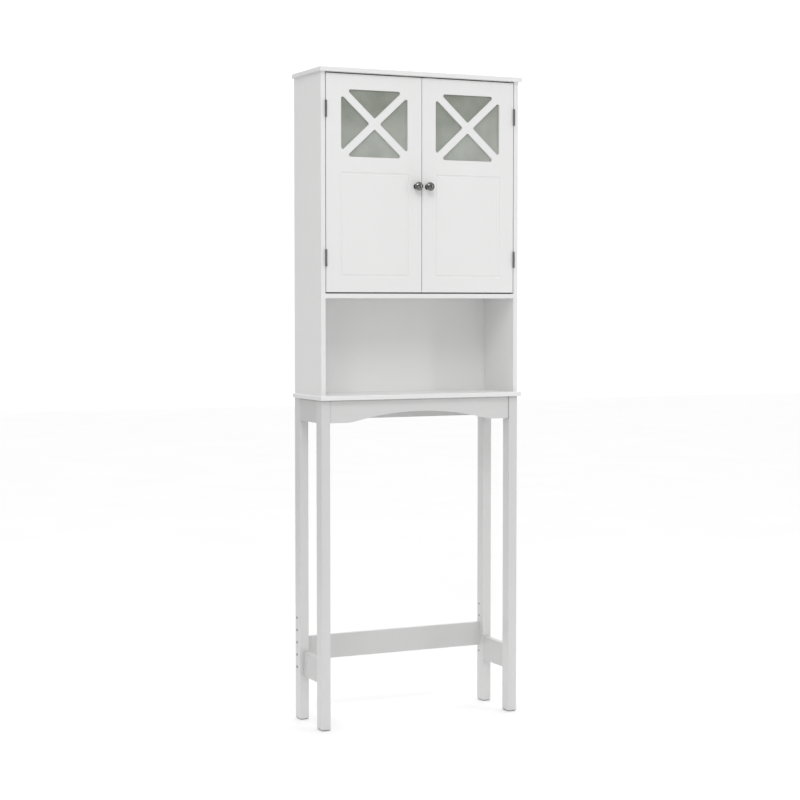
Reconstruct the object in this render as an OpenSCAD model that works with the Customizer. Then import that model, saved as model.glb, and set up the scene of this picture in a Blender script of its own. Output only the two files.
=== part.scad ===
// Over-the-toilet storage rack: a two-door cupboard and an open shelf on a four-legged frame.
// Millimetres. +X is the rack's right seen from the front, +Y runs back to the wall, +Z is up.
// The origin is on the floor, under the middle of the whole rack with its knobs.

/* [Overall] */
// Width over the outsides of the side panels and of the legs
cabinet_w = 572; // [440:1:800]
// Depth of the side panels and of the leg frame
cabinet_d = 182; // [150:1:300]
// Height of the leg frame, from the floor to the base board
frame_h = 858; // [600:1:1000]
// Clear height of the open shelf
open_h = 251; // [120:1:400]
// Clear height of the cupboard
cupboard_h = 565; // [460:1:800]

/* [Boards] */
// Thickness of the cabinet's boards
board_t = 12; // [11:0.5:18]
// Overhang of the top board and the base board past each side
overhang_side = 6; // [0:0.5:20]
// Overhang of the top board and the base board past the front
overhang_front = 12; // [0:0.5:20]
// Rounding along the edges of the top board and the base board
board_edge_r = 2.5; // [0.5:0.5:5]
// Thickness of the back panel
back_t = 3; // [2:0.5:6]
// Distance from the back panel to the rear edge of the cabinet
back_inset = 11; // [6:0.5:20]
// Depth of the grooves that hold the back panel
groove_depth = 4; // [2:0.5:5]
// Thickness of the adjustable shelf
shelf_t = 12; // [9:0.5:18]
// Height of the adjustable shelf's underside over the cupboard's floor
shelf_rise = 270; // [80:1:380]
// Space between the doors and the adjustable shelf
shelf_setback = 12; // [8:1:40]

/* [Leg frame] */
// Width of a leg, from side to side
leg_w = 24; // [20:0.5:45]
// Depth of a leg, from front to back
leg_d = 34; // [26:0.5:60]
// Thickness of the aprons
apron_t = 15; // [12:0.5:20]
// Height of the aprons at the legs
apron_h = 59; // [52:1:90]
// Recess of the front and rear aprons behind the faces of the legs
apron_recess = 2; // [0:0.5:6]
// Rise of the front apron's arch
arch_rise = 26; // [8:1:30]
// Radius of the front apron's arch
arch_r = 800; // [500:10:1500]
// Radius that turns the arch into the straight ends of the apron
arch_ease_r = 120; // [40:5:200]
// Thickness of the side stretchers
side_stretcher_t = 15; // [12:0.5:20]
// Height of the side stretchers
side_stretcher_h = 65; // [40:1:90]
// Height of the side stretchers' lower edge over the floor
side_stretcher_z = 117; // [60:1:300]
// Thickness of the rear stretcher
rear_stretcher_t = 12; // [12:0.5:16]
// Height of the rear stretcher
rear_stretcher_h = 64; // [50:1:90]
// Thickness of the glides under the legs
glide_t = 2; // [1:0.5:5]
// Margin of a glide inside the outline of its leg
glide_margin = 1.5; // [1:0.5:5]

/* [Stretcher holes] */
// Height of the lowest hole over the floor
hole_z = 138; // [80:1:300]
// Spacing of the holes
hole_pitch = 33; // [25:0.5:40]
// Number of holes in each rear leg
hole_count = 5; // [3:1:8]
// Hole that takes the stretcher's lower bolt, counted from the lowest
hole_used = 1; // [0:1:1]
// Distance from the holes to the rear face of the leg
hole_inset = 10; // [8:0.5:12]
// Diameter of the stretcher bolts
bolt_d = 5; // [4:0.5:6]
// Depth of the bolts in the rear stretcher
bolt_reach = 34; // [28:1:60]

/* [Doors] */
// Thickness of the doors
door_t = 12; // [11:0.5:18]
// Gap between a door and its side panel, which holds the hinge leaves
door_side_gap = 2.4; // [2.2:0.1:4]
// Gap between the two doors
door_mid_gap = 2; // [2:0.1:5]
// Gap over the doors
door_top_gap = 3; // [2:0.1:6]
// Gap under the doors
door_bottom_gap = 3.5; // [2:0.1:6]
// Height of the window
window_h = 172; // [120:1:200]
// Margin over the window
window_top = 39; // [34:1:60]
// Margin on the hinge side of the window
window_hinge_side = 42; // [36:1:60]
// Margin on the free side of the window
window_free_side = 39.5; // [34:1:60]
// Width of the crossed bars
lattice_bar = 19; // [12:0.5:30]
// Thickness of the crossed bars
lattice_t = 5; // [3:0.5:6]
// Rounding in the corners of the panes
pane_r = 5; // [2:0.5:8]
// Thickness of the glass
glass_t = 3; // [2:0.5:4]
// Margin of the glass around the window
glass_lap = 8; // [5:0.5:12]
// Height of the grooved panel under the window
panel_h = 263; // [150:1:280]
// Margin under the grooved panel
panel_bottom = 43; // [30:1:60]
// Width of the panel's groove
groove_w = 6; // [3:0.5:8]
// Depth of the panel's groove
groove_d = 1.8; // [0.5:0.1:3]

/* [Knobs] */
// Diameter of a knob
knob_d = 23; // [22:0.5:32]
// Projection of a knob from the door
knob_l = 25; // [24:0.5:32]
// Radius of the rounded rim of a knob
knob_rim_r = 5; // [4:0.5:5.5]
// Diameter of a knob's neck
knob_neck_d = 10; // [10:0.5:12]
// Distance from a knob's centre to the free edge of its door
knob_inset = 15.5; // [14:0.5:30]
// Height of a knob over the lower edge of its door
knob_rise = 276; // [200:1:300]
// Diameter of the screws that hold the knobs
knob_screw_d = 4; // [3:0.5:4]

/* [Hinges] */
// Length of a hinge, with the caps of its pin
hinge_l = 44.5; // [36:0.5:60]
// Diameter of a hinge's barrel
barrel_d = 5.5; // [5:0.25:6]
// Thickness of a hinge's leaves
leaf_t = 1; // [0.8:0.1:1]
// Depth of the leaves behind the front of the cabinet
leaf_reach = 11; // [10:0.5:11]
// Diameter of a hinge's pin
pin_d = 2.5; // [2:0.1:3]
// Distance from the middle of the upper hinge to the top of the door
hinge_top = 91; // [50:1:120]
// Distance from the middle of the lower hinge to the bottom of the door
hinge_bottom = 88; // [50:1:120]

/* [Fits] */
// Radial clearance of a hinge's pin in its knuckles
pin_clear = 0.05; // [0.02:0.01:0.09]
// Radial clearance of screws, dowels and fittings in their holes
fit = 0.1; // [0.05:0.05:0.2]
// Clearance of panels in grooves and rebates
panel_clear = 0.2; // [0.1:0.1:0.5]

/* [Hidden] */
$fn = 48;
// How far cutting shapes run past a face, and how deep joined shapes run into each other
cut = 1;
lap = 0.01;
// Gap between glass beads at the corners
joint_gap = 0.1;

// Heights
base_z = frame_h;
open_z = base_z + board_t;
floor_z = open_z + open_h;
cupboard_z = floor_z + board_t;
top_z = cupboard_z + cupboard_h;
total_h = top_z + board_t;

// Widths and depths
outer_x = cabinet_w / 2;
inner_x = outer_x - board_t;
panel_mid_x = outer_x - board_t / 2;
leg_x = outer_x - leg_w;
board_w = cabinet_w + 2 * overhang_side;
board_d = cabinet_d + overhang_front;
back_y = cabinet_d - back_inset - back_t;
front_shift = (knob_l - cabinet_d) / 2;
slot_w = back_t + 2 * panel_clear;

// Doors
door_w = inner_x - door_side_gap - door_mid_gap / 2;
door_h = cupboard_h - door_top_gap - door_bottom_gap;
door_z = cupboard_z + door_bottom_gap;
door_edge_x = door_mid_gap / 2 + door_w;
window_w = door_w - window_hinge_side - window_free_side;
window_x = door_mid_gap / 2 + window_free_side + window_w / 2;
window_z = door_z + door_h - window_top - window_h / 2;
bar_angle = atan2(window_h, window_w);
glass_w = window_w + 2 * glass_lap;
glass_h = window_h + 2 * glass_lap;
bead_t = door_t - lattice_t - glass_t;
rebate_w = glass_w + 2 * panel_clear;
rebate_h = glass_h + 2 * panel_clear;
bead_w = 7;
panel_z = door_z + panel_bottom;
groove_tool_r = (groove_w * groove_w / 4 + groove_d * groove_d) / (2 * groove_d);
knob_x = door_mid_gap / 2 + knob_inset;
knob_z = door_z + knob_rise;

// Hinges: the axis is in the middle of the gap, with the barrel just in front of the cabinet
barrel_gap = 0.25;
knuckle_gap = 0.2;
knuckle_count = 5;
cap_h = 1.2;
barrel_l = hinge_l - 2 * cap_h;
knuckle_l = (barrel_l - (knuckle_count - 1) * knuckle_gap) / knuckle_count;
axis_x = inner_x - door_side_gap / 2;
axis_y = -barrel_d / 2 - barrel_gap;
leaf_front = 0.3;
hinge_heights = [door_z + hinge_bottom, door_z + door_h - hinge_top];
hinge_screw_d = 2.6;
hinge_screw_head_d = 4.4;
hinge_screw_l = 10;
hinge_screw_y = (leaf_front + leaf_reach) / 2;
hinge_screw_spread = 14;

// Aprons and stretchers
apron_z = base_z - apron_h;
apron_mid_z = base_z - apron_h / 2;
front_apron_mid_y = apron_recess + apron_t / 2;
rear_apron_mid_y = cabinet_d - apron_recess - apron_t / 2;
side_apron_mid_x = outer_x - apron_t / 2;
side_stretcher_mid_x = leg_x + side_stretcher_t / 2;
hole_y = cabinet_d - hole_inset;
stretcher_z = hole_z + (hole_used + 0.5) * hole_pitch - rear_stretcher_h / 2;
arch_z = apron_z + arch_rise - arch_r;
ease_z = apron_z + arch_ease_r;
ease_x = sqrt(pow(arch_r + arch_ease_r, 2) - pow(ease_z - arch_z, 2));

// Stretcher bolts and their barrel nuts
bolt_head_d = bolt_d + 2.4;
bolt_head_h = (bolt_head_d - bolt_d) / 2;
bolt_sink = 0.3;
hex_key = 3;
nut_d = bolt_d + 3;
nut_l = rear_stretcher_t - 2.5;
nut_wall = 1.5;
nut_inset = bolt_reach - 6;

// Cam fittings: a bolt screws into one board, and its head turns in a cam in the other
cam_d = 12;
cam_reach = 24;
cam_past = 3.5;
cam_bolt_d = 5;
cam_thread_l = 8;
cam_rod_d = 4;
cam_head_l = 3;
cam_neck_l = 3;
cam_neck_d = 2.6;
cam_slot = cam_bolt_d + 0.8;
cabinet_cams = [0.22 * cabinet_d, 0.72 * cabinet_d];
base_cams = [leg_d + 26, cabinet_d - leg_d - 26];
apron_cam_drop = 18;

// Dowels
dowel_d = 8;
frame_dowel_l = 15;
edge_dowel_l = 20;
board_dowel_l = 8;
dowel_end = 0.5;
cabinet_dowels = [0.36 * cabinet_d, 0.58 * cabinet_d];
apron_dowel_drop = 42;
apron_dowels = [18, 42];
stretcher_dowels = [18, 47];

// Screws through the base board into the side panels
base_screw_d = 4;
base_screw_head_d = 8;
base_screw_l = 45;
base_screws = [0.14 * cabinet_d, 0.84 * cabinet_d];

// Pins under the adjustable shelf
shelf_pin_d = 5;
shelf_pin_in = 8;
shelf_pin_out = 8;
shelf_pin_step = 32;
shelf_z = cupboard_z + shelf_rise;
shelf_y = door_t + shelf_setback;
shelf_d = back_y - 2 - shelf_y;
shelf_pin_ys = [shelf_y + 20, shelf_y + shelf_d - 20];

// Magnetic catches under the top board, and the plates on the doors that they hold
catch_w = 36;
catch_d = 14;
catch_h = 13;
catch_gap = 0.3;
catch_x = door_mid_gap / 2 + 34;
catch_wall = 2;
catch_box_w = 17;
magnet_w = 13;
magnet_h = 6;
plate_t = 1;
plate_w = 30;
plate_h = 12;
plate_z = door_z + door_h - 0.5 - plate_h / 2;
catch_y = door_t + plate_t + catch_gap;
catch_screw_d = 3;
catch_screw_head_d = 5;
catch_screw_spread = 12;
plate_screw_l = 8;

// ---------------------------------------------------------------------------- placing

// Moves shapes from the front of the cabinet to the rack's own origin
module rack() {
    translate([0, front_shift, 0])
        children();
}

module left() {
    mirror([1, 0, 0])
        children();
}

module both_sides() {
    children();
    left()
        children();
}

// Box from its lowest corner to its highest corner
module box(low, high) {
    translate(low)
        cube(high - low);
}

// Cylinder of diameter d from height z0 to height z1
module rod(d, z0, z1) {
    translate([0, 0, z0])
        cylinder(d = d, h = z1 - z0);
}

// Turns +Z to +X, +Y or -Y
module to_x() {
    rotate([0, 90, 0])
        children();
}

module to_back() {
    rotate([-90, 0, 0])
        children();
}

module to_front() {
    rotate([90, 0, 0])
        children();
}

// ---------------------------------------------------------------------------- fittings

// A cam fitting stands where two boards meet, at z = 0. The bolt screws up into the upper
// board. The cam is in the lower board, whose face is at x = -$cam_board / 2.
module cam_bolt() {
    neck_z = -cam_reach + cam_head_l;
    rod(cam_bolt_d, 0, cam_thread_l);
    rod(cam_rod_d, neck_z + cam_neck_l, 0);
    rod(cam_neck_d, neck_z, neck_z + cam_neck_l);
    rod(cam_bolt_d, -cam_reach, neck_z);
}

module cam_lock() {
    difference() {
        translate([-$cam_board / 2 + panel_clear, 0, -cam_reach])
            to_x()
                cylinder(d = cam_d, h = $cam_board / 2 - panel_clear + cam_past);
        box([-cam_slot / 2, -cam_slot / 2, -cam_reach - cam_slot / 2],
            [cam_slot / 2, cam_slot / 2, 0]);
        translate([-$cam_board / 2, 0, -cam_reach])
            to_x()
                cylinder(d = 5, h = 1.5, $fn = 6);
    }
}

module cam_holes() {
    rod(cam_bolt_d + 2 * fit, -cut, cam_thread_l + fit);
    rod(cam_bolt_d + 1, -cam_reach, 0);
    translate([-$cam_board / 2 - cut, 0, -cam_reach])
        to_x()
            cylinder(d = cam_d + 2 * fit, h = $cam_board / 2 + cut + cam_past + fit);
}

// Between the top board and the side panels
module top_cam_sites() {
    both_sides()
        for (y = cabinet_cams)
            translate([panel_mid_x, y, top_z])
                children($cam_board = board_t);
}

// Between the side panels and the cupboard's floor, with the cams in the floor's upper face
module floor_cam_sites() {
    both_sides()
        for (y = cabinet_cams)
            translate([inner_x, y, floor_z + board_t / 2])
                to_x()
                    children($cam_board = board_t);
}

// Between the base board and the side aprons
module base_cam_sites() {
    both_sides()
        for (y = base_cams)
            translate([side_apron_mid_x, y, base_z])
                children($cam_board = apron_t);
}

// Between the legs and the front and rear aprons, with the cams in the aprons' inner faces
module apron_cam_sites() {
    both_sides() {
        translate([leg_x, front_apron_mid_y, base_z - apron_cam_drop])
            to_back()
                to_x()
                    children($cam_board = apron_t);
        translate([leg_x, rear_apron_mid_y, base_z - apron_cam_drop])
            to_front()
                to_x()
                    children($cam_board = apron_t);
    }
}

// A dowel along Z, up and down from where two boards meet
module dowel(up, down) {
    rod(dowel_d, -down, up);
}

module dowel_hole(up, down) {
    rod(dowel_d + 2 * fit, -down - dowel_end, up + dowel_end);
}

module top_dowel_sites() {
    both_sides()
        for (y = cabinet_dowels)
            translate([panel_mid_x, y, top_z])
                children();
}

module floor_dowel_sites() {
    both_sides()
        for (y = cabinet_dowels)
            translate([inner_x, y, floor_z + board_t / 2])
                to_x()
                    children();
}

module apron_dowel_sites() {
    both_sides()
        for (y = [front_apron_mid_y, rear_apron_mid_y])
            translate([leg_x, y, base_z - apron_dowel_drop])
                to_x()
                    children();
}

module side_frame_dowel_sites() {
    both_sides()
        for (y = [leg_d, cabinet_d - leg_d]) {
            for (drop = apron_dowels)
                translate([side_apron_mid_x, y, base_z - drop])
                    to_back()
                        children();
            for (rise = stretcher_dowels)
                translate([side_stretcher_mid_x, y, side_stretcher_z + rise])
                    to_back()
                        children();
        }
}

// Countersunk screw along -Z, with the top of its head at z = 0
module flat_head_screw(d, head_d, length) {
    head_h = (head_d - d) / 2;
    translate([0, 0, -head_h])
        cylinder(d1 = d, d2 = head_d, h = head_h);
    rod(d, -length, -head_h);
}

// Hole for the same screw, a clearance larger all round
module flat_head_hole(d, head_d, length) {
    head_h = (head_d - d) / 2;
    translate([0, 0, -head_h])
        cylinder(d1 = d + 2 * fit, d2 = head_d + 2 * fit, h = head_h);
    rod(head_d + 2 * fit, 0, cut);
    rod(d + 2 * fit, -length - dowel_end, -head_h);
}

// ---------------------------------------------------------------------------- cabinet

// Rectangle with true arcs at its four corners
module round_square(w, h, r) {
    translate([-w / 2 + r, -h / 2])
        square([w - 2 * r, h]);
    translate([-w / 2, -h / 2 + r])
        square([w, h - 2 * r]);
    for (x = [-w / 2 + r, w / 2 - r], y = [-h / 2 + r, h / 2 - r])
        translate([x, y])
            circle(r = r);
}

// Board with rounded edges at its front and its two ends
module overhanging_board(z) {
    r = min(board_edge_r, board_t / 2 - 0.5);
    intersection() {
        translate([0, cabinet_d, z + board_t / 2])
            to_front()
                linear_extrude(board_d)
                    round_square(board_w, board_t, r);
        translate([-board_w / 2, cabinet_d - board_d / 2 + r, z + board_t / 2])
            rotate([90, 0, 90])
                linear_extrude(board_w)
                    round_square(board_d + 2 * r, board_t, r);
    }
}

module top_board() {
    color("white")
        rack()
            difference() {
                overhanging_board(top_z);
                box([-inner_x - groove_depth, back_y - panel_clear, top_z - cut],
                    [inner_x + groove_depth, back_y - panel_clear + slot_w, top_z + groove_depth]);
                top_cam_sites()
                    cam_holes();
                top_dowel_sites()
                    dowel_hole(board_dowel_l, edge_dowel_l);
                catch_screw_sites()
                    catch_screw_hole();
            }
}

module base_board() {
    color("white")
        rack()
            difference() {
                overhanging_board(base_z);
                box([-inner_x - groove_depth, back_y - panel_clear, open_z - groove_depth],
                    [inner_x + groove_depth, back_y - panel_clear + slot_w, open_z + cut]);
                base_cam_sites()
                    cam_holes();
                base_screw_sites()
                    flat_head_hole(base_screw_d, base_screw_head_d, base_screw_l);
            }
}

// The right side panel. The left one is its mirror image.
module side_panel() {
    rack()
        difference() {
            box([inner_x, 0, open_z], [outer_x, cabinet_d, top_z]);
            box([inner_x - cut, back_y - panel_clear, open_z - cut],
                [inner_x + groove_depth, back_y - panel_clear + slot_w, top_z + cut]);
            top_cam_sites()
                cam_holes();
            top_dowel_sites()
                dowel_hole(board_dowel_l, edge_dowel_l);
            floor_cam_sites()
                cam_holes();
            floor_dowel_sites()
                dowel_hole(board_dowel_l, edge_dowel_l);
            base_screw_sites()
                flat_head_hole(base_screw_d, base_screw_head_d, base_screw_l);
            shelf_pin_holes();
            frame_hinge_screw_sites()
                hinge_screw_hole();
        }
}

module right_side_panel() {
    color("white")
        side_panel();
}

module left_side_panel() {
    color("white")
        left()
            side_panel();
}

module cupboard_floor() {
    color("white")
        rack()
            difference() {
                box([-inner_x, 0, floor_z], [inner_x, back_y, cupboard_z]);
                floor_cam_sites()
                    cam_holes();
                floor_dowel_sites()
                    dowel_hole(board_dowel_l, edge_dowel_l);
            }
}

module back_panel() {
    side = inner_x + groove_depth - panel_clear;
    color("white")
        rack()
            box([-side, back_y, open_z - groove_depth],
                [side, back_y + back_t, top_z + groove_depth - panel_clear]);
}

module adjustable_shelf() {
    side_gap = 1;
    color("white")
        rack()
            box([-inner_x + side_gap, shelf_y, shelf_z],
                [inner_x - side_gap, shelf_y + shelf_d, shelf_z + shelf_t]);
}

module shelf_pins() {
    color("silver")
        rack()
            both_sides()
                for (y = shelf_pin_ys)
                    translate([inner_x, y, shelf_z - shelf_pin_d / 2])
                        to_x()
                            rod(shelf_pin_d, -shelf_pin_out, shelf_pin_in);
}

// Three rows of holes: the one in use, one higher and one lower
module shelf_pin_holes() {
    for (y = shelf_pin_ys, step = [-1:1])
        translate([inner_x, y, shelf_z - shelf_pin_d / 2 + step * shelf_pin_step])
            to_x()
                rod(shelf_pin_d + 2 * fit, -cut, shelf_pin_in + dowel_end);
}

module base_screw_sites() {
    both_sides()
        for (y = base_screws)
            translate([panel_mid_x, y, base_z])
                rotate([180, 0, 0])
                    children();
}

module base_board_screws() {
    color("silver")
        rack()
            base_screw_sites()
                flat_head_screw(base_screw_d, base_screw_head_d, base_screw_l);
}

// ---------------------------------------------------------------------------- leg frame

// The right leg whose front face is at y. The holes for the rear stretcher are in the rear legs.
module leg(y) {
    rack()
        difference() {
            box([leg_x, y, glide_t], [outer_x, y + leg_d, base_z]);
            apron_cam_sites()
                cam_holes();
            apron_dowel_sites()
                dowel_hole(frame_dowel_l - 1, frame_dowel_l);
            side_frame_dowel_sites()
                dowel_hole(frame_dowel_l, frame_dowel_l);
            stretcher_hole_sites([0:hole_count - 1])
                bolt_hole();
        }
}

module front_right_leg() {
    color("white")
        leg(0);
}

module front_left_leg() {
    color("white")
        left()
            leg(0);
}

module rear_right_leg() {
    color("white")
        leg(cabinet_d - leg_d);
}

module rear_left_leg() {
    color("white")
        left()
            leg(cabinet_d - leg_d);
}

module front_apron() {
    color("white")
        rack()
            difference() {
                translate([0, apron_recess + apron_t, 0])
                    to_front()
                        linear_extrude(apron_t)
                            difference() {
                                translate([-leg_x, apron_z])
                                    square([2 * leg_x, apron_h]);
                                arch();
                            }
                apron_cam_sites()
                    cam_holes();
                apron_dowel_sites()
                    dowel_hole(frame_dowel_l - 1, frame_dowel_l);
            }
}

// The arch is one arc of arch_r, and an arc of arch_ease_r turns it into each straight end
module arch() {
    share = arch_r / (arch_r + arch_ease_r);
    meet = [ease_x * share, arch_z + (ease_z - arch_z) * share];
    difference() {
        union() {
            translate([0, arch_z])
                circle(r = arch_r, $fn = 360);
            polygon([[-ease_x, apron_z - cut], [ease_x, apron_z - cut], [ease_x, apron_z],
                     meet, [-meet[0], meet[1]], [-ease_x, apron_z]]);
        }
        for (side = [-1, 1])
            translate([side * ease_x, ease_z])
                circle(r = arch_ease_r, $fn = 180);
    }
}

module rear_apron() {
    color("white")
        rack()
            difference() {
                box([-leg_x, cabinet_d - apron_recess - apron_t, apron_z],
                    [leg_x, cabinet_d - apron_recess, base_z]);
                apron_cam_sites()
                    cam_holes();
                apron_dowel_sites()
                    dowel_hole(frame_dowel_l - 1, frame_dowel_l);
            }
}

module side_apron() {
    rack()
        difference() {
            box([outer_x - apron_t, leg_d, apron_z], [outer_x, cabinet_d - leg_d, base_z]);
            base_cam_sites()
                cam_holes();
            side_frame_dowel_sites()
                dowel_hole(frame_dowel_l, frame_dowel_l);
        }
}

module right_side_apron() {
    color("white")
        side_apron();
}

module left_side_apron() {
    color("white")
        left()
            side_apron();
}

module side_stretcher() {
    rack()
        difference() {
            box([leg_x, leg_d, side_stretcher_z],
                [leg_x + side_stretcher_t, cabinet_d - leg_d, side_stretcher_z + side_stretcher_h]);
            side_frame_dowel_sites()
                dowel_hole(frame_dowel_l, frame_dowel_l);
        }
}

module right_side_stretcher() {
    color("white")
        side_stretcher();
}

module left_side_stretcher() {
    color("white")
        left()
            side_stretcher();
}

module rear_stretcher() {
    color("white")
        rack()
            difference() {
                box([-leg_x, hole_y - rear_stretcher_t / 2, stretcher_z],
                    [leg_x, hole_y + rear_stretcher_t / 2, stretcher_z + rear_stretcher_h]);
                stretcher_hole_sites([hole_used, hole_used + 1]) {
                    rod(bolt_d + 2 * fit, -leg_w - bolt_reach - 4, 0);
                    barrel_nut_hole();
                }
            }
}

// Holes in the rear legs, with +Z of a site pointing out of the leg's outer face
module stretcher_hole_sites(steps) {
    both_sides()
        for (step = steps)
            translate([outer_x, hole_y, hole_z + step * hole_pitch])
                to_x()
                    children();
}

module bolt_hole() {
    rod(bolt_head_d + 2 * fit, -bolt_sink, cut);
    translate([0, 0, -bolt_sink - bolt_head_h])
        cylinder(d1 = bolt_d + 2 * fit, d2 = bolt_head_d + 2 * fit, h = bolt_head_h);
    rod(bolt_d + 2 * fit, -leg_w - cut, -bolt_sink - bolt_head_h);
}

module stretcher_bolts() {
    color("dimgray")
        rack()
            stretcher_hole_sites([hole_used, hole_used + 1])
                difference() {
                    translate([0, 0, -bolt_sink])
                        flat_head_screw(bolt_d, bolt_head_d, leg_w - bolt_sink + bolt_reach);
                    translate([0, 0, -bolt_sink - 2])
                        cylinder(d = hex_key * 2 / sqrt(3), h = 2 + cut, $fn = 6);
                }
}

// Barrel nut across the rear stretcher, in a hole that is open at the stretcher's rear face
module barrel_nut_place() {
    translate([0, -rear_stretcher_t / 2 + nut_wall, -leg_w - nut_inset])
        to_back()
            children();
}

module barrel_nut_hole() {
    barrel_nut_place()
        rod(nut_d + 2 * fit, -fit, rear_stretcher_t);
}

module stretcher_barrel_nuts() {
    color("silver")
        rack()
            stretcher_hole_sites([hole_used, hole_used + 1])
                difference() {
                    barrel_nut_place()
                        rod(nut_d, 0, nut_l);
                    rod(bolt_d + fit, -leg_w - bolt_reach, -leg_w);
                }
}

module foot_glides() {
    color("gray")
        rack()
            both_sides()
                for (y = [0, cabinet_d - leg_d])
                    box([leg_x + glide_margin, y + glide_margin, 0],
                        [outer_x - glide_margin, y + leg_d - glide_margin, glide_t]);
}

module cam_bolts() {
    color("silver")
        rack() {
            top_cam_sites()
                cam_bolt();
            floor_cam_sites()
                cam_bolt();
            base_cam_sites()
                cam_bolt();
            apron_cam_sites()
                cam_bolt();
        }
}

module cam_locks() {
    color("silver")
        rack() {
            top_cam_sites()
                cam_lock();
            floor_cam_sites()
                cam_lock();
            base_cam_sites()
                cam_lock();
            apron_cam_sites()
                cam_lock();
        }
}

module cabinet_dowels() {
    color("burlywood")
        rack() {
            top_dowel_sites()
                dowel(board_dowel_l, edge_dowel_l);
            floor_dowel_sites()
                dowel(board_dowel_l, edge_dowel_l);
        }
}

module frame_dowels() {
    color("burlywood")
        rack() {
            apron_dowel_sites()
                dowel(frame_dowel_l - 1, frame_dowel_l);
            side_frame_dowel_sites()
                dowel(frame_dowel_l, frame_dowel_l);
        }
}

// ---------------------------------------------------------------------------- doors

// The right door. The left one is its mirror image.
module door() {
    rack()
        difference() {
            box([door_mid_gap / 2, 0, door_z], [door_edge_x, door_t, door_z + door_h]);
            translate([window_x, lattice_t, window_z])
                to_front()
                    translate([0, 0, -cut])
                        linear_extrude(lattice_t + 2 * cut)
                            panes();
            glass_rebate();
            panel_groove();
            knob_screw_hole();
            door_hinge_screw_sites()
                hinge_screw_hole();
            strike_screw_place()
                flat_head_hole(catch_screw_d, catch_screw_head_d, plate_screw_l);
        }
}

// Four panes between the crossed bars
module panes() {
    for (turn = [0, 180]) {
        rotate(turn)
            pane(window_h / 2, bar_angle);
        rotate(turn + 90)
            pane(window_w / 2, 90 - bar_angle);
    }
}

// Pane over the crossing, with its base on the window's edge at y = edge_y and its sides along
// bars that climb at the angle. A circle rounds each corner, and a strip joins each two circles,
// a hair narrower than they are so that no edge is tangent to a circle.
module pane(edge_y, angle) {
    base_y = edge_y - pane_r;
    tip_y = (lattice_bar / 2 + pane_r) / cos(angle);
    base_x = (base_y - tip_y) / tan(angle);
    strip = pane_r - 3 * lap;
    side = [sin(angle), -cos(angle)] * strip;
    corners = [[base_x, base_y], [-base_x, base_y], [0, tip_y]];
    for (corner = corners)
        translate(corner)
            circle(r = pane_r);
    polygon(corners);
    translate([-base_x, base_y])
        square([2 * base_x, strip]);
    for (flip = [0, 1])
        mirror([flip, 0])
            polygon([[0, tip_y], [0, tip_y] + side, [base_x, base_y] + side, [base_x, base_y]]);
}

module glass_rebate() {
    translate([window_x, 0, window_z])
        box([-rebate_w / 2, lattice_t, -rebate_h / 2], [rebate_w / 2, door_t + cut, rebate_h / 2]);
}

// Groove cut by a ball-nosed tool around the panel, with its centre just in front of the door
module panel_groove() {
    r = groove_tool_r;
    translate([window_x, groove_d - r, panel_z + panel_h / 2]) {
        for (x = [-window_w / 2, window_w / 2])
            translate([x, 0, 0])
                rod(2 * r, -panel_h / 2, panel_h / 2);
        for (z = [-panel_h / 2, panel_h / 2])
            translate([0, 0, z])
                to_x()
                    rod(2 * r, -window_w / 2, window_w / 2);
        for (x = [-window_w / 2, window_w / 2], z = [-panel_h / 2, panel_h / 2])
            translate([x, 0, z])
                sphere(r = r);
    }
}

module right_door() {
    color("white")
        door();
}

module left_door() {
    color("white")
        left()
            door();
}

module glass() {
    rack()
        translate([window_x, lattice_t, window_z])
            box([-glass_w / 2, 0, -glass_h / 2], [glass_w / 2, glass_t, glass_h / 2]);
}

module right_glass() {
    color("darkseagreen", 0.7)
        glass();
}

module left_glass() {
    color("darkseagreen", 0.7)
        left()
            glass();
}

// Four strips that hold the glass in its rebate
module glass_beads() {
    rack()
        translate([window_x, door_t - bead_t, window_z])
            for (turn = [0, 180])
                rotate([0, turn, 0]) {
                    box([rebate_w / 2 - bead_w, 0, -rebate_h / 2], [rebate_w / 2, bead_t, rebate_h / 2]);
                    box([bead_w - rebate_w / 2 + joint_gap, 0, rebate_h / 2 - bead_w],
                        [rebate_w / 2 - bead_w - joint_gap, bead_t, rebate_h / 2]);
                }
}

module right_glass_beads() {
    color("whitesmoke")
        glass_beads();
}

module left_glass_beads() {
    color("whitesmoke")
        left()
            glass_beads();
}

// ---------------------------------------------------------------------------- knobs

// Half outline of a knob along +Y: a flange, a neck and a head with a domed front and a round rim
module knob_outline() {
    flange_r = knob_neck_d / 2 + 2.5;
    flange_t = 2;
    rim_x = knob_d / 2 - knob_rim_r;
    dome_r = 0.7 * knob_d;
    dome_z = knob_l - dome_r;
    rim_rise = sqrt(pow(dome_r - knob_rim_r, 2) - pow(rim_x, 2));
    rim_z = dome_z + rim_rise;
    square([flange_r, flange_t]);
    square([knob_neck_d / 2, rim_z]);
    translate([0, rim_z - knob_rim_r])
        square([rim_x, knob_rim_r]);
    translate([rim_x, rim_z])
        circle(r = knob_rim_r);
    intersection() {
        translate([0, dome_z])
            circle(r = dome_r, $fn = 180);
        polygon([[0, dome_z], [2 * rim_x, dome_z + 2 * rim_rise], [0, dome_z + 2 * rim_rise]]);
    }
}

module knob() {
    rack()
        translate([knob_x, 0, knob_z])
            to_front()
                difference() {
                    rotate_extrude()
                        knob_outline();
                    rod(knob_screw_d + 2 * fit, -cut, knob_l - 10);
                }
}

module right_knob() {
    color("slategray")
        knob();
}

module left_knob() {
    color("slategray")
        left()
            knob();
}

module knob_screw_hole() {
    translate([knob_x, door_t, knob_z])
        to_back()
            rod(knob_screw_d + 2 * fit, -door_t - cut, cut);
}

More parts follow.
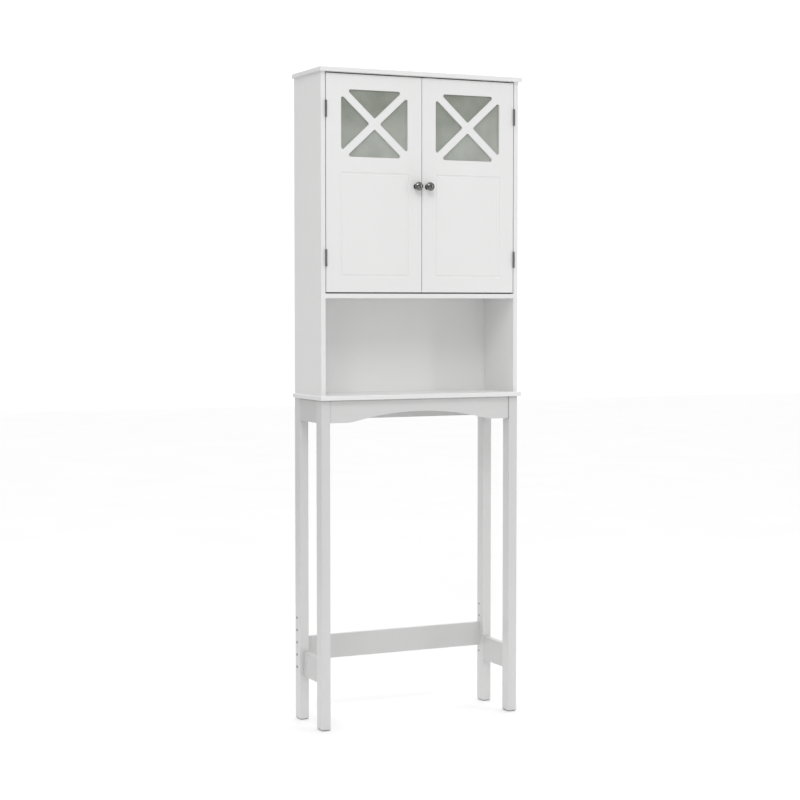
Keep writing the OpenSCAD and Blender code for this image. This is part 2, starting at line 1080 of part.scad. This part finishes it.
// Screw through the door from behind, with a pan head
module knob_screw() {
    rack()
        translate([knob_x, door_t, knob_z])
            to_back()
                difference() {
                    union() {
                        rod(2 * knob_screw_d, 0, 2.4);
                        rod(knob_screw_d, -door_t - 10, 0);
                    }
                    cross_slot(2.4);
                }
}

// Crossed slots in the top of a screw's head
module cross_slot(top_z) {
    for (angle = [0, 90])
        rotate(angle)
            translate([-2, -0.4, top_z - 1])
                cube([4, 0.8, 1 + cut]);
}

module right_knob_screw() {
    color("silver")
        knob_screw();
}

module left_knob_screw() {
    color("silver")
        left()
            knob_screw();
}

// ---------------------------------------------------------------------------- hinges

module hinge_sites() {
    for (z = hinge_heights)
        translate([axis_x, axis_y, z])
            children();
}

// One leaf with its knuckles, around the axis at x = 0 and y = 0. side is 1 for the leaf
// on the side panel and -1 for the leaf on the door.
module leaf(side) {
    first = side == 1 ? 0 : 1;
    face = side * (door_side_gap / 2 - leaf_t);
    wall = side * door_side_gap / 2;
    x0 = min(face, wall);
    x1 = max(face, wall);
    plate_y = leaf_front - axis_y;
    difference() {
        union() {
            box([x0, plate_y, -barrel_l / 2], [x1, leaf_reach - axis_y, barrel_l / 2]);
            for (k = [first:2:knuckle_count - 1])
                translate([0, 0, -barrel_l / 2 + k * (knuckle_l + knuckle_gap)]) {
                    cylinder(d = barrel_d, h = knuckle_l);
                    box([x0, 0, 0], [x1, plate_y + lap, knuckle_l]);
                }
        }
        rod(pin_d + 2 * pin_clear, -barrel_l, barrel_l);
        for (z = [-1, 1])
            translate([face, hinge_screw_y - axis_y, z * hinge_screw_spread])
                rotate([0, -90 * side, 0])
                    flat_head_hole(hinge_screw_d, hinge_screw_head_d, hinge_screw_l);
    }
}

module right_hinge_frame_leaves() {
    color("dimgray")
        rack()
            hinge_sites()
                leaf(1);
}

module left_hinge_frame_leaves() {
    color("dimgray")
        rack()
            left()
                hinge_sites()
                    leaf(1);
}

module right_hinge_door_leaves() {
    color("dimgray")
        rack()
            hinge_sites()
                leaf(-1);
}

module left_hinge_door_leaves() {
    color("dimgray")
        rack()
            left()
                hinge_sites()
                    leaf(-1);
}

// Pin with a low domed cap at each end
module hinge_pin() {
    dome_r = (pow(barrel_d / 2, 2) + pow(cap_h, 2)) / (2 * cap_h);
    rod(pin_d, -barrel_l / 2 - cap_h / 2, barrel_l / 2 + cap_h / 2);
    for (turn = [0, 180])
        rotate([turn, 0, 0])
            intersection() {
                translate([0, 0, barrel_l / 2 + cap_h - dome_r])
                    sphere(r = dome_r);
                rod(2 * barrel_d, barrel_l / 2 + pin_clear, barrel_l / 2 + 2 * cap_h);
            }
}

module right_hinge_pins() {
    color("dimgray")
        rack()
            hinge_sites()
                hinge_pin();
}

module left_hinge_pins() {
    color("dimgray")
        rack()
            left()
                hinge_sites()
                    hinge_pin();
}

// Screws of the leaves on the right side panel. +Z of a site points out of the screw's head.
module frame_hinge_screw_sites() {
    hinge_sites()
        for (z = [-1, 1])
            translate([door_side_gap / 2 - leaf_t, hinge_screw_y - axis_y, z * hinge_screw_spread])
                rotate([0, -90, 0])
                    children();
}

module door_hinge_screw_sites() {
    hinge_sites()
        for (z = [-1, 1])
            translate([leaf_t - door_side_gap / 2, hinge_screw_y - axis_y, z * hinge_screw_spread])
                to_x()
                    children();
}

module hinge_screw() {
    flat_head_screw(hinge_screw_d, hinge_screw_head_d, hinge_screw_l);
}

module hinge_screw_hole() {
    flat_head_hole(hinge_screw_d, hinge_screw_head_d, hinge_screw_l);
}

module frame_hinge_screws() {
    color("dimgray")
        rack()
            both_sides()
                frame_hinge_screw_sites()
                    hinge_screw();
}

module right_door_hinge_screws() {
    color("dimgray")
        rack()
            door_hinge_screw_sites()
                hinge_screw();
}

module left_door_hinge_screws() {
    color("dimgray")
        rack()
            left()
                door_hinge_screw_sites()
                    hinge_screw();
}

// ---------------------------------------------------------------------------- catches

module catch_screw_sites() {
    both_sides()
        for (side = [-1, 1])
            translate([catch_x + side * catch_screw_spread, catch_y + catch_d / 2, top_z - catch_wall])
                rotate([180, 0, 0])
                    children();
}

module catch_screw() {
    flat_head_screw(catch_screw_d, catch_screw_head_d, catch_wall + plate_screw_l);
}

module catch_screw_hole() {
    flat_head_hole(catch_screw_d, catch_screw_head_d, catch_wall + plate_screw_l);
}

// Housing of one catch: a cover plate under the top board and a box around the magnet
module catch_housing() {
    difference() {
        union() {
            box([catch_x - catch_w / 2, catch_y, top_z - catch_wall],
                [catch_x + catch_w / 2, catch_y + catch_d, top_z]);
            box([catch_x - catch_box_w / 2, catch_y, top_z - catch_h],
                [catch_x + catch_box_w / 2, catch_y + catch_d, top_z]);
        }
        magnet(panel_clear);
    }
}

// Magnet against the rear wall of its housing, or the space for it with a clearance around it
module magnet(clearance) {
    half_w = magnet_w / 2 + clearance;
    half_h = magnet_h / 2 + clearance;
    translate([catch_x, catch_y, top_z - (catch_h + catch_wall) / 2])
        box([-half_w, -clearance, -half_h], [half_w, catch_d - catch_wall, half_h]);
}

module magnetic_catches() {
    color("whitesmoke")
        rack()
            difference() {
                both_sides()
                    catch_housing();
                catch_screw_sites()
                    catch_screw_hole();
            }
}

module catch_magnets() {
    color("dimgray")
        rack()
            both_sides()
                magnet(0);
}

module catch_screws() {
    color("silver")
        rack()
            catch_screw_sites()
                catch_screw();
}

module strike_screw_place() {
    translate([catch_x, door_t + plate_t, plate_z])
        to_back()
            children();
}

module strike_plate() {
    rack()
        difference() {
            strike_screw_place()
                translate([0, 0, -plate_t / 2])
                    cube([plate_w, plate_h, plate_t], center = true);
            strike_screw_place()
                flat_head_hole(catch_screw_d, catch_screw_head_d, plate_screw_l);
        }
}

module strike_screw() {
    rack()
        strike_screw_place()
            flat_head_screw(catch_screw_d, catch_screw_head_d, plate_screw_l);
}

module right_strike_plate() {
    color("silver")
        strike_plate();
}

module left_strike_plate() {
    color("silver")
        left()
            strike_plate();
}

module right_strike_screw() {
    color("silver")
        strike_screw();
}

module left_strike_screw() {
    color("silver")
        left()
            strike_screw();
}

// ---------------------------------------------------------------------------- drawing

top_board();
left_side_panel();
right_side_panel();
cupboard_floor();
adjustable_shelf();
shelf_pins();
back_panel();
base_board();
front_left_leg();
front_right_leg();
rear_left_leg();
rear_right_leg();
front_apron();
rear_apron();
left_side_apron();
right_side_apron();
left_side_stretcher();
right_side_stretcher();
rear_stretcher();
stretcher_bolts();
stretcher_barrel_nuts();
foot_glides();
cam_bolts();
cam_locks();
cabinet_dowels();
frame_dowels();
base_board_screws();
left_door();
right_door();
left_glass();
right_glass();
left_glass_beads();
right_glass_beads();
left_knob();
right_knob();
left_knob_screw();
right_knob_screw();
left_hinge_frame_leaves();
right_hinge_frame_leaves();
left_hinge_door_leaves();
right_hinge_door_leaves();
left_hinge_pins();
right_hinge_pins();
frame_hinge_screws();
left_door_hinge_screws();
right_door_hinge_screws();
magnetic_catches();
catch_magnets();
catch_screws();
left_strike_plate();
right_strike_plate();
left_strike_screw();
right_strike_screw();
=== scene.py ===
"""Looks of an over-the-toilet storage rack: white paint, frosted glass, dark polished knobs."""

import math

import bpy
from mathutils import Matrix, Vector


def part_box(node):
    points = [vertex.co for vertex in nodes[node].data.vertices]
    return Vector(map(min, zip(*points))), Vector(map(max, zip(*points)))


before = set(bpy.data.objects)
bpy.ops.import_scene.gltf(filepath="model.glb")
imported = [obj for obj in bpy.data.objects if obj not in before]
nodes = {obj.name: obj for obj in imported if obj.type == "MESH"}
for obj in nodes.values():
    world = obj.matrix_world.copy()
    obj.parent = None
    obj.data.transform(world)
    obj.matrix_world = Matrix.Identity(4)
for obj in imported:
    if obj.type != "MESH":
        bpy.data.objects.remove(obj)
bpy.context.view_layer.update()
scene = bpy.context.scene

# Level directions: from the camera to the rack and back, and out past the left of the picture
view_direction = (0.425, 0.905, 0)
towards_camera = (-0.425, -0.905, 0)
out_to_the_left = (-0.974, 0.225, 0)


# ------------------------------------------------------------------ shader helpers

def feed(tree, socket, value):
    """Links the socket to a node's output, or sets it to a plain value."""
    if isinstance(value, bpy.types.NodeSocket):
        tree.links.new(value, socket)
    else:
        socket.default_value = value


class Shader:
    """One node material around a Principled shader."""

    def __init__(self, name):
        self.material = bpy.data.materials.new(name)
        self.material.use_nodes = True
        self.tree = self.material.node_tree
        self.bsdf = self.tree.nodes["Principled BSDF"]

    def add(self, kind, inputs=None, **settings):
        """A new node, with its inputs fed and its settings made."""
        node = self.tree.nodes.new(kind)
        for key, value in settings.items():
            setattr(node, key, value)
        for key, value in (inputs or {}).items():
            feed(self.tree, node.inputs[key], value)
        return node

    def set(self, **values):
        """Feeds the Principled shader, with _ for each space in an input's name."""
        for key, value in values.items():
            feed(self.tree, self.bsdf.inputs[key.replace("_", " ")], value)

    def place(self, scale=(1, 1, 1), shift=(0, 0, 0)):
        """The point on the piece at rest, in metres, scaled along each axis and shifted."""
        point = self.add("ShaderNodeTexCoord").outputs["Object"]
        mapping = self.add(
            "ShaderNodeMapping", {"Vector": point, "Scale": scale, "Location": shift}
        )
        return mapping.outputs["Vector"]

    def noise(self, scale, detail=3.0, rough=0.55, stretch=(1, 1, 1), shift=(0, 0, 0)):
        """Noise with about scale waves to the metre, drawn out where stretch is below 1."""
        vector = self.place(stretch, shift)
        node = self.add(
            "ShaderNodeTexNoise",
            {"Vector": vector, "Scale": scale, "Detail": detail, "Roughness": rough},
        )
        return node.outputs["Fac"]

    def ramp(self, fac, low, high, lo=0.3, hi=0.7):
        """Colour from low to high as fac goes from lo to hi."""
        node = self.add("ShaderNodeValToRGB", {"Fac": fac})
        first, last = node.color_ramp.elements
        first.position, last.position = lo, hi
        first.color = (*low, 1)
        last.color = (*high, 1)
        return node.outputs["Color"]

    def spread(self, fac, low, high, lo=0.3, hi=0.7):
        """Number from low to high as fac goes from lo to hi."""
        node = self.add(
            "ShaderNodeMapRange",
            {"Value": fac, "From Min": lo, "From Max": hi, "To Min": low, "To Max": high},
        )
        return node.outputs["Result"]

    def bump(self, height, strength, distance, normal=None):
        """Relief of distance metres, on top of the relief in normal."""
        inputs = {"Height": height, "Strength": strength, "Distance": distance}
        if normal is not None:
            inputs["Normal"] = normal
        return self.add("ShaderNodeBump", inputs).outputs["Normal"]

    def math(self, operation, a, b=0.0):
        """Math node on one or two numbers."""
        return self.add("ShaderNodeMath", {0: a, 1: b}, operation=operation).outputs["Value"]

    def axes(self):
        """The three coordinates of the point, in metres."""
        split = self.add("ShaderNodeSeparateXYZ", {"Vector": self.place()})
        return [split.outputs[axis] for axis in "XYZ"]

    def along(self, direction, offset):
        """Distance past a plane that faces along direction, in metres."""
        dot = self.add(
            "ShaderNodeVectorMath", {0: self.place(), 1: direction}, operation="DOT_PRODUCT"
        )
        return self.math("SUBTRACT", dot.outputs["Value"], offset)

    def mix(self, fac, first, second):
        """Colour that goes from first to second as fac goes from 0 to 1."""
        # The Mix node has sockets of these names for numbers too, so colours go by place
        factor, colour_a, colour_b, mixed = 0, 6, 7, 2
        node = self.add("ShaderNodeMix", {factor: fac}, data_type="RGBA")
        for place, colour in ((colour_a, first), (colour_b, second)):
            if not isinstance(colour, bpy.types.NodeSocket):
                colour = (*colour, 1)
            feed(self.tree, node.inputs[place], colour)
        return node.outputs[mixed]


# The row of holes through a rear leg: spacing, height of the lowest, distance from the rear face
# and reach of the walls from the axis, and how deep under the painted face a wall starts
bore_pitch = 0.033
bore_lowest = 0.138
bore_inset = 0.010
bore_reach = 0.0041
paint_depth = 0.0002


def bores(s, leg):
    """1 on the walls of the row of holes through a rear leg, 0 on its painted faces."""
    low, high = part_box(leg)
    x, y, z = s.axes()
    rise = s.math("SUBTRACT", z, bore_lowest - bore_pitch / 2)
    rise = s.math("SUBTRACT", s.math("FLOORED_MODULO", rise, bore_pitch), bore_pitch / 2)
    across = s.math("SUBTRACT", y, high[1] - bore_inset)
    squares = s.math("ADD", s.math("MULTIPLY", rise, rise), s.math("MULTIPLY", across, across))
    near = s.math("LESS_THAN", s.math("SQRT", squares), bore_reach)
    from_middle = s.math("ABSOLUTE", s.math("SUBTRACT", x, (low[0] + high[0]) / 2))
    deep = s.math("LESS_THAN", from_middle, (high[0] - low[0]) / 2 - paint_depth)
    return s.math("MULTIPLY", near, deep)


# Paint drifts down to drift_shade of its tone. Within joint_shadow_reach of a joint, painted
# shade darkens it to joint_shadow_tone of its tone, where shade falls between parts
drift_shade = 0.975
joint_shadow_tone = 0.3
joint_shadow_reach = 0.006


def painted(name, tone, grain, shift, bored=None, painted_joint_shadow=True):
    """Sprayed satin paint: fine orange peel, faint waves along the board, soft drift of tone.

    With seams, painted shade darkens the paint close to a joint between boards, where the
    neighbouring parts hide it from the light.
    In a bored leg, the walls of the holes show raw board, its tone darkened well below bare wood
    as painted shade inside the holes."""
    s = Shader(name)
    drift = s.noise(scale=3.0, detail=2.0, stretch=(1, 1, 0.5), shift=shift)
    peel = s.noise(scale=900.0, detail=2.0, rough=0.5, shift=shift)
    fibre = s.noise(scale=60.0, detail=3.0, rough=0.6, stretch=grain, shift=shift)
    polish = s.noise(scale=35.0, detail=3.0, shift=shift)
    colour = s.ramp(drift, tuple(c * drift_shade for c in tone), tone)
    # Hole walls: raw board, made far darker than bare wood as painted shade for the shade inside
    # the holes
    if bored:
        chips = s.noise(scale=2500.0, detail=2.0)
        raw_board_and_hole_shade = s.ramp(chips, (0.13, 0.10, 0.07), (0.22, 0.17, 0.12))
        colour = s.mix(bores(s, bored), colour, raw_board_and_hole_shade)
    # Painted shade: ambient occlusion darkens the paint in joints and corners, where shade falls
    # between parts
    if painted_joint_shadow:
        joint_occlusion = s.add("ShaderNodeAmbientOcclusion", {"Distance": joint_shadow_reach}, samples=8)
        unshadowed_share = s.spread(joint_occlusion.outputs["AO"], 0.0, 1.0, lo=0.35, hi=0.95)
        colour = s.mix(unshadowed_share, tuple(c * joint_shadow_tone for c in tone), colour)
    waves = s.bump(fibre, strength=0.10, distance=0.00008)
    s.set(
        Base_Color=colour,
        Roughness=s.spread(polish, 0.33, 0.43),
        IOR=1.48,
        Coat_Weight=0.12,
        Coat_Roughness=0.28,
        Normal=s.bump(peel, strength=0.12, distance=0.00006, normal=waves),
    )
    return s.material


def frosted(name, pane):
    """Etched glass: milky, slightly green, with painted shade: darker at the top and left of the
    pane, lighter towards its foot and right.
    """
    s = Shader(name)
    low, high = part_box(pane)
    centre_x, centre_z = (low[0] + high[0]) / 2, (low[2] + high[2]) / 2
    # Painted shade across the pane: darker towards the top and left, lighter towards the foot and
    # right, with cloudy noise on top
    right, down = 1.5, 3.2
    painted_shade_slope = s.along((right, 0, -down), right * centre_x - down * centre_z)
    painted_shade_and_cloud = s.math("ADD", painted_shade_slope, s.noise(scale=14.0, detail=3.0))
    grain = s.noise(scale=1800.0, detail=2.0)
    s.set(
        Base_Color=s.ramp(painted_shade_and_cloud, (0.30, 0.325, 0.275), (0.54, 0.57, 0.525), lo=0.12, hi=0.88),
        Roughness=s.spread(grain, 0.42, 0.55),
        IOR=1.5,
        Transmission_Weight=0.25,
        Coat_Weight=0.3,
        Coat_Roughness=0.12,
        Normal=s.bump(grain, strength=0.25, distance=0.00004),
    )
    return s.material


def metal(name, low, high, rough_low, rough_high, brushed=(1, 1, 1), bump=0.05):
    """Bare or plated metal between two tones and two roughnesses, with fine lines."""
    s = Shader(name)
    wear = s.noise(scale=30.0, detail=4.0)
    lines = s.noise(scale=400.0, detail=3.0, rough=0.6, stretch=brushed)
    s.set(
        Base_Color=s.ramp(wear, low, high),
        Metallic=1.0,
        Roughness=s.spread(lines, rough_low, rough_high),
        Normal=s.bump(lines, strength=bump, distance=0.00003),
    )
    return s.material


def plastic(name, low, high, rough_low, rough_high):
    """Moulded plastic between two tones and two roughnesses, with a fine grain."""
    s = Shader(name)
    grain = s.noise(scale=700.0, detail=3.0)
    s.set(
        Base_Color=s.ramp(s.noise(scale=25.0), low, high),
        Roughness=s.spread(grain, rough_low, rough_high),
        IOR=1.49,
        Normal=s.bump(grain, strength=0.15, distance=0.00004),
    )
    return s.material


def bare_wood(name):
    """Unfinished wood with fine rings."""
    s = Shader(name)
    rings = s.noise(scale=160.0, detail=5.0, rough=0.6, stretch=(0.15, 0.15, 1))
    s.set(
        Base_Color=s.ramp(rings, (0.42, 0.26, 0.13), (0.62, 0.44, 0.26)),
        Roughness=s.spread(rings, 0.5, 0.65),
        Normal=s.bump(rings, strength=0.2, distance=0.0001),
    )
    return s.material


# ------------------------------------------------------------------ materials of the pieces

# Tones of the paint, as shares of the light that comes back, two of them darkened as painted
# shade, and the way its faint waves run
cabinet_white = (0.84, 0.84, 0.837)
# Painted shade: shaded_leg_white and shaded_rail_white are the cabinet's white paint, darkened
# for the weaker light on the leg frame, and more on the rails set back under the cabinet
shaded_leg_white = (0.68, 0.68, 0.677)
shaded_rail_white = (0.61, 0.61, 0.607)
along_x, along_y, along_z = (0.04, 1, 1), (1, 0.04, 1), (1, 1, 0.04)
board_paint = painted("paint_boards", cabinet_white, along_x, (0, 0, 0), painted_joint_shadow=False)
panel_paint = painted("paint_panels", cabinet_white, along_z, (1.3, 0.4, 0), painted_joint_shadow=False)
apron_paint = painted("paint_front_apron", shaded_leg_white, along_x, (0.2, 1.7, 0))
rail_paint = painted("paint_rails", shaded_rail_white, along_x, (0.6, 2.2, 0), painted_joint_shadow=False)
post_paint = painted("paint_legs", shaded_leg_white, along_z, (3.1, 0.9, 0))
bored_paint = {
    leg: painted("paint_" + leg, shaded_leg_white, along_z, (3.1, 0.9, 0), bored=leg, painted_joint_shadow=False)
    for leg in ("rear_left_leg", "rear_right_leg")
}
side_apron_paint = painted("paint_side_aprons", shaded_rail_white, along_y, (2.1, 0, 0.7))
side_bar_paint = painted("paint_side_stretchers", shaded_rail_white, along_y, (1.1, 0, 0.4), painted_joint_shadow=False)
panes = {pane: frosted("frosted_" + pane, pane) for pane in ("left_glass", "right_glass")}
knob_metal = metal("dark_nickel", (0.16, 0.162, 0.16), (0.21, 0.212, 0.207), 0.02, 0.05,
                   bump=0.02)
hinge_metal = metal("satin_nickel", (0.17, 0.17, 0.17), (0.24, 0.24, 0.235), 0.28, 0.4,
                    brushed=(1, 1, 0.1))
zinc = metal("zinc_plate", (0.55, 0.56, 0.58), (0.68, 0.69, 0.70), 0.22, 0.35)
cast_zinc = metal("cast_zinc", (0.42, 0.43, 0.44), (0.52, 0.53, 0.54), 0.4, 0.55, bump=0.2)
black_oxide = metal("black_oxide", (0.03, 0.03, 0.032), (0.06, 0.06, 0.062), 0.35, 0.5)
ferrite = metal("ferrite", (0.05, 0.05, 0.055), (0.09, 0.09, 0.095), 0.5, 0.7, bump=0.2)
white_plastic = plastic("white_plastic", (0.74, 0.74, 0.72), (0.80, 0.80, 0.79), 0.4, 0.5)
grey_plastic = plastic("grey_plastic", (0.26, 0.26, 0.26), (0.33, 0.33, 0.33), 0.55, 0.7)
beech = bare_wood("beech")

paints = {
    board_paint: ["top_board", "base_board", "cupboard_floor", "adjustable_shelf", "back_panel"],
    panel_paint: ["left_side_panel", "right_side_panel", "left_door", "right_door"],
    apron_paint: ["front_apron"],
    rail_paint: ["rear_apron", "rear_stretcher"],
    post_paint: ["front_left_leg", "front_right_leg"],
    bored_paint["rear_left_leg"]: ["rear_left_leg"],
    bored_paint["rear_right_leg"]: ["rear_right_leg"],
    side_apron_paint: ["left_side_apron", "right_side_apron"],
    side_bar_paint: ["left_side_stretcher", "right_side_stretcher"],
    panes["left_glass"]: ["left_glass"],
    panes["right_glass"]: ["right_glass"],
    knob_metal: ["left_knob", "right_knob"],
    hinge_metal: [n for n in nodes if "hinge" in n],
    zinc: ["shelf_pins", "stretcher_barrel_nuts", "cam_bolts", "base_board_screws",
           "left_knob_screw", "right_knob_screw", "catch_screws", "left_strike_plate",
           "right_strike_plate", "left_strike_screw", "right_strike_screw"],
    cast_zinc: ["cam_locks"],
    black_oxide: ["stretcher_bolts"],
    ferrite: ["catch_magnets"],
    white_plastic: ["magnetic_catches", "left_glass_beads", "right_glass_beads"],
    grey_plastic: ["foot_glides"],
    beech: ["cabinet_dowels", "frame_dowels"],
}
for material, names in paints.items():
    for name in names:
        nodes[name].data.materials.clear()
        nodes[name].data.materials.append(material)


# ------------------------------------------------------------------ eased edges

# Widths in metres, on the leg frame and on the cabinet
frame_edge = 0.0012
cabinet_edge = 0.0008


def ease(name, width, segments):
    """Rounds the sharp edges of a CAD node, as paint and sanding do."""
    weld = nodes[name].modifiers.new("weld", "WELD")
    weld.merge_threshold = 0.00001
    flat = nodes[name].modifiers.new("flat_faces", "DECIMATE")
    flat.decimate_type = "DISSOLVE"
    flat.angle_limit = math.radians(0.3)
    bevel = nodes[name].modifiers.new("eased_edges", "BEVEL")
    bevel.width = width
    bevel.segments = segments
    bevel.limit_method = "ANGLE"
    bevel.angle_limit = math.radians(50)
    bevel.harden_normals = True


for paint in (post_paint, apron_paint, rail_paint, side_apron_paint, side_bar_paint,
              *bored_paint.values()):
    for name in paints[paint]:
        ease(name, frame_edge, segments=3)
for name in paints[panel_paint] + ["cupboard_floor", "adjustable_shelf"]:
    ease(name, cabinet_edge, segments=2)


# ------------------------------------------------------------------ studio

floor_mesh = bpy.data.meshes.new("studio_floor")
half = 14.0
floor_mesh.from_pydata(
    [(-half, -half, 0), (half, -half, 0), (half, half, 0), (-half, half, 0)],
    [], [(0, 1, 2, 3)],
)
floor = bpy.data.objects.new("studio_floor", floor_mesh)
scene.collection.objects.link(floor)
under_feet = 0.0005
floor.location.z = -under_feet
# The paper is white around and behind the rack. It dims slightly towards the camera, and beyond
# left_edge and near_edge, which are outside the picture, it fades to grey.
left_edge, near_edge, fade_length = 1.1, 0.9, 1.2
paper = Shader("studio_floor")
past_edges = paper.math("MAXIMUM", paper.along(out_to_the_left, left_edge),
                        paper.along(towards_camera, near_edge))
white = paper.ramp(paper.noise(scale=2.0), (0.97, 0.97, 0.97), (0.985, 0.985, 0.985))
nearness = paper.spread(paper.along(towards_camera, 0.0), 0.0, 1.0, lo=0.0, hi=near_edge)
white = paper.mix(nearness, white, (0.88, 0.88, 0.88))
fade = paper.spread(past_edges, 0.0, 1.0, lo=0.0, hi=fade_length)
paper.set(Base_Color=paper.mix(fade, white, (0.50, 0.50, 0.50)), Roughness=0.9)
floor.data.materials.append(paper.material)


def area(name, place, aim, width, height, power):
    """Softbox: where it stands, what it faces, its size in metres and its power in watts."""
    data = bpy.data.lights.new(name, "AREA")
    data.shape = "RECTANGLE"
    data.size, data.size_y = width, height
    data.energy = power
    light = bpy.data.objects.new(name, data)
    light.location = place
    light.rotation_euler = (Vector(aim) - Vector(place)).to_track_quat("-Z", "Y").to_euler()
    scene.collection.objects.link(light)


area("high", (-0.9, -1.9, 2.9), (0, 0, 1.3), width=0.85, height=0.85, power=14)
area("side", (-1.5, -1.6, 2.4), (0, 0, 1.3), width=0.3, height=1.0, power=3)
area("left", (-2.2, -2.2, 1.3), (0, 0, 0.95), width=0.5, height=1.0, power=3.6)
area("low", (-0.1, -2.1, 1.0), (0, 0, 0.9), width=0.9, height=0.6, power=2.6)
area("right", (1.6, -1.4, 1.7), (0, 0, 1.2), width=0.3, height=1.2, power=5)

# The surround is dim all round, and bright above and behind the rack
world = bpy.data.worlds.new("studio")
scene.world = world
world.use_nodes = True
tree = world.node_tree
background = tree.nodes["Background"]
direction = tree.nodes.new("ShaderNodeTexCoord").outputs["Generated"]


def sky(operation, a, b):
    """Math node in the surround's node tree."""
    node = tree.nodes.new("ShaderNodeMath")
    node.operation = operation
    feed(tree, node.inputs[0], a)
    feed(tree, node.inputs[1], b)
    return node.outputs["Value"]


glow_all_round, glow_above, glow_behind = 0.22, 0.89, 0.85
glow = glow_all_round
for axis, strength in (((0, 0, 1), glow_above), (view_direction, glow_behind)):
    dot = tree.nodes.new("ShaderNodeVectorMath")
    dot.operation = "DOT_PRODUCT"
    tree.links.new(direction, dot.inputs[0])
    dot.inputs[1].default_value = axis
    lobe = sky("MULTIPLY", sky("MAXIMUM", dot.outputs["Value"], 0.0), strength)
    glow = sky("ADD", lobe, glow)
tree.links.new(glow, background.inputs["Strength"])
background.inputs["Color"].default_value = (1, 1, 1, 1)
scene.view_settings.view_transform = "Standard"

# ------------------------------------------------------------------ camera

# Left of the rack's front, at about two thirds of its height; angles in degrees
look_down, look_right = 3.036, 25.219
camera_data = bpy.data.cameras.new("camera")
camera_data.lens = 82.88
camera_data.sensor_width = 36.0
camera_data.clip_start, camera_data.clip_end = 0.05, 60.0
camera = bpy.data.objects.new("camera", camera_data)
camera.location = (-2.1152, -4.4358, 1.1105)
camera.rotation_euler = (math.radians(90 - look_down), 0, math.radians(-look_right))
scene.collection.objects.link(camera)
scene.camera = camera
